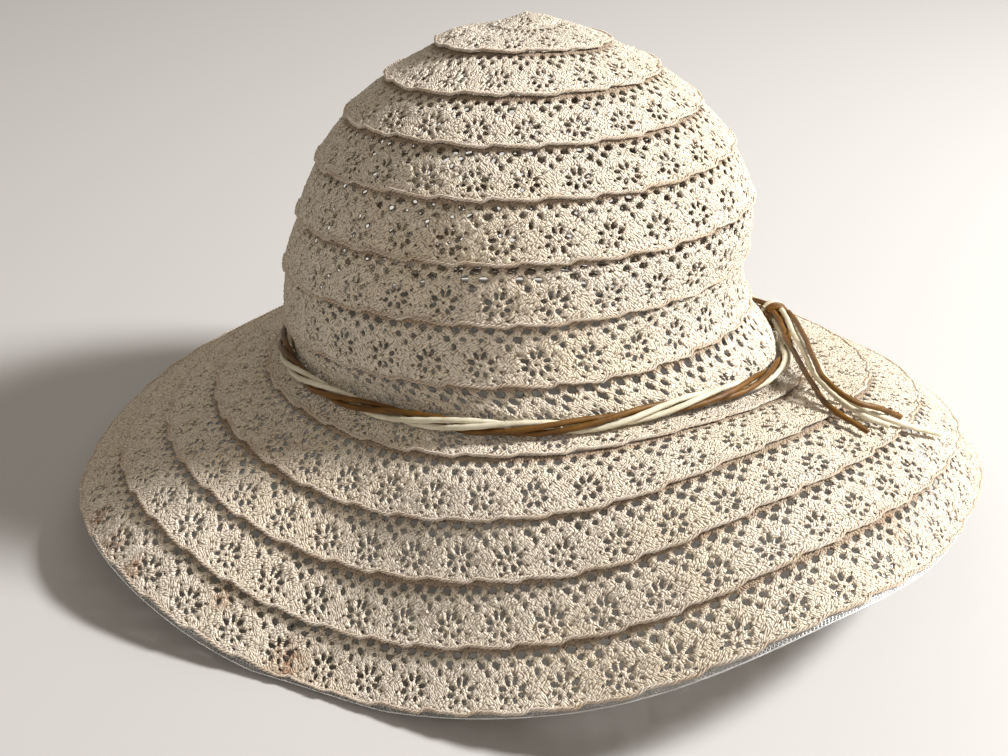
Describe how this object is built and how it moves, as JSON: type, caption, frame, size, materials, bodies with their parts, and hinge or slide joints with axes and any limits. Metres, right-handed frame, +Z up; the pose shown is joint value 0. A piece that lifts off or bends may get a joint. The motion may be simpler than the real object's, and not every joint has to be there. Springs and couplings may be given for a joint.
{
  "type": "floppy sun hat",
  "caption": "Soft lace sun hat with a round crown, a wide drooping brim, a clear edging strip and a twisted cord band knotted at the side.",
  "frame": {"origin": "on the floor, under the middle of the resting hat's box", "axes": "+Z up from the floor the brim rests on, +X to the wearer's side where the band is knotted, +Y to the side away from the viewer"},
  "size_m": [0.3353, 0.3274, 0.1741],
  "materials": {
    "crown_lace": "matt cotton lace, ecru",
    "brim_lace": "matt cotton lace, ecru",
    "clear_strip": "clear nylon mesh tape",
    "cream_cord": "waxed cotton cord, cream",
    "tan_cord": "waxed cotton cord, tan brown"
  },
  "bodies": {
    "root": {"crown": "crown_lace", "brim": "brim_lace", "edging_strip": "clear_strip", "band_cream_1": "cream_cord", "band_cream_2": "cream_cord", "band_tan_1": "tan_cord", "band_tan_2": "tan_cord", "knot_tan_1": "tan_cord", "knot_tan_2": "tan_cord", "knot_cream": "cream_cord", "tail_cream_long": "cream_cord", "tail_tan_long": "tan_cord", "tail_cream_short": "cream_cord", "tail_tan_short": "tan_cord"}
  },
  "joints": []
}
